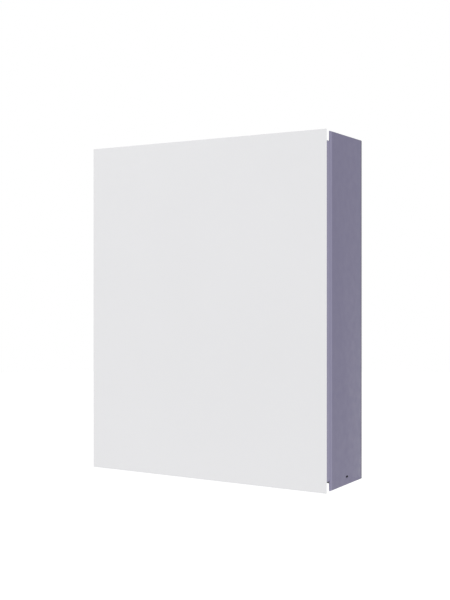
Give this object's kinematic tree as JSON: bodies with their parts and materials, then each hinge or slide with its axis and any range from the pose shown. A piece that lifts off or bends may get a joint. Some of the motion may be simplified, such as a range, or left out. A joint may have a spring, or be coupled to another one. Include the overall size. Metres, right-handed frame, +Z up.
{
  "type": "wall battery unit",
  "caption": "Flat wall-hung battery cabinet with a white front panel on a slide-off sheet-metal hood; battery modules, a fan-cooled inverter and a wiring bay sit on its chassis.",
  "frame": {"origin": "on the wall plane, at the centre of the wall bracket's four bolt holes, which is also the middle of the unit's width and height", "axes": "+X to the right seen from the front, +Y into the wall, +Z up; the front panel faces -Y"},
  "size_m": [0.556, 0.186, 0.69],
  "materials": {
    "panel_white": "satin powder coat",
    "shell_paint": "satin powder coat",
    "zinc_steel": "galvanised",
    "bright_steel": "plated",
    "black_rubber": "matt",
    "seal_foam": "matt",
    "spring_steel": "blackened",
    "module_paint": "fine texture",
    "cell_film": "film",
    "aluminium": "satin",
    "copper": "bright",
    "winding": "enamelled",
    "board_green": "solder mask",
    "board_blue": "solder mask",
    "clear_cover": "clear",
    "orange_plastic": "satin",
    "black_plastic": "satin",
    "transformer_tape": "tape",
    "capacitor_sleeve": "sleeve",
    "film_yellow": "moulded",
    "brass_posts": "bright",
    "grey_plastic": "satin",
    "white_plastic": "satin",
    "red_plastic": "satin",
    "wire_orange": "sheath",
    "wire_blue": "sheath",
    "wire_grey": "sheath"
  },
  "bodies": {
    "wall_bracket": {"bracket_upper": "zinc_steel", "bracket_lower": "zinc_steel"},
    "chassis": {"chassis_back": "zinc_steel", "top_plate": "zinc_steel", "bottom_plate": "zinc_steel", "shelf": "zinc_steel", "dividers": "zinc_steel", "hang_hooks": "zinc_steel", "rubber_pads": "black_rubber", "snap_catches": "spring_steel", "chassis_screws": "bright_steel", "module_case_lower": "module_paint", "module_case_upper": "module_paint", "cells_lower": "cell_film", "cells_upper": "cell_film", "stack_frames": "aluminium", "busbars_lower": "copper", "busbars_upper": "copper", "cell_boards": "board_green", "module_cover_lower": "clear_cover", "module_cover_upper": "clear_cover", "module_sockets": "orange_plastic", "data_ports": "black_plastic", "heat_sink": "aluminium", "transistors": "black_plastic", "power_board": "board_green", "inductors": "winding", "transformer": "transformer_tape", "capacitors": "capacitor_sleeve", "film_capacitors": "film_yellow", "relays": "black_plastic", "control_board": "board_blue", "control_chips": "black_plastic", "data_sockets": "bright_steel", "board_posts": "brass_posts", "bay_plate": "zinc_steel", "din_rail": "zinc_steel", "terminals": "grey_plastic", "breaker_body": "white_plastic", "isolator_body": "black_plastic", "glands": "black_plastic", "earth_stud": "bright_steel", "switch_bezel": "black_plastic", "fan_frames": "black_plastic", "dc_cables": "wire_orange", "ac_wires": "wire_blue", "signal_cables": "wire_grey", "cable_plugs": "orange_plastic"},
    "hood": {"hood_side_left": "shell_paint", "hood_side_right": "shell_paint", "hood_tray": "shell_paint", "front_panel": "panel_white", "hood_fittings": "bright_steel", "hood_seal": "seal_foam"},
    "isolator_knob": {"isolator_knob": "red_plastic"},
    "breaker_lever": {"breaker_lever": "black_plastic"},
    "power_rocker": {"power_rocker": "black_plastic"},
    "wake_button": {"wake_button": "bright_steel"},
    "fan_left": {"fan_rotor_left": "black_plastic"},
    "fan_right": {"fan_rotor_right": "black_plastic"}
  },
  "joints": [
    {"name": "unit_lift", "type": "slide", "parent": "wall_bracket", "child": "chassis", "axis": [0, 0, 1], "range_m": [0, 0.014]},
    {"name": "hood_slide", "type": "slide", "parent": "chassis", "child": "hood", "axis": [0, -1, 0], "range_m": [0, 0.19], "deforming": ["snap_catches"]},
    {"name": "isolator_turn", "type": "hinge", "parent": "chassis", "child": "isolator_knob", "pos_m": [0.206, -0.11, -0.0342], "axis": [0, -1, 0], "range_deg": [-90, 0]},
    {"name": "breaker_toggle", "type": "hinge", "parent": "chassis", "child": "breaker_lever", "pos_m": [0.206, -0.1255, -0.1392], "axis": [1, 0, 0], "range_deg": [0, 64]},
    {"name": "power_rocker_tilt", "type": "hinge", "parent": "chassis", "child": "power_rocker", "pos_m": [0.17, -0.14, -0.3222], "axis": [0, 1, 0], "range_deg": [-18, 0]},
    {"name": "wake_button_press", "type": "slide", "parent": "chassis", "child": "wake_button", "axis": [0, 0, 1], "range_m": [0, 0.002], "stiffness_N_per_m": 400, "springref_m": -0.001},
    {"name": "fan_left_spin", "type": "hinge", "parent": "chassis", "child": "fan_left", "pos_m": [-0.1636, -0.09075, 0.3102], "axis": [0, 0, 1], "continuous": true},
    {"name": "fan_right_spin", "type": "hinge", "parent": "chassis", "child": "fan_right", "pos_m": [0.0156, -0.09075, 0.3102], "axis": [0, 0, 1], "continuous": true}
  ]
}
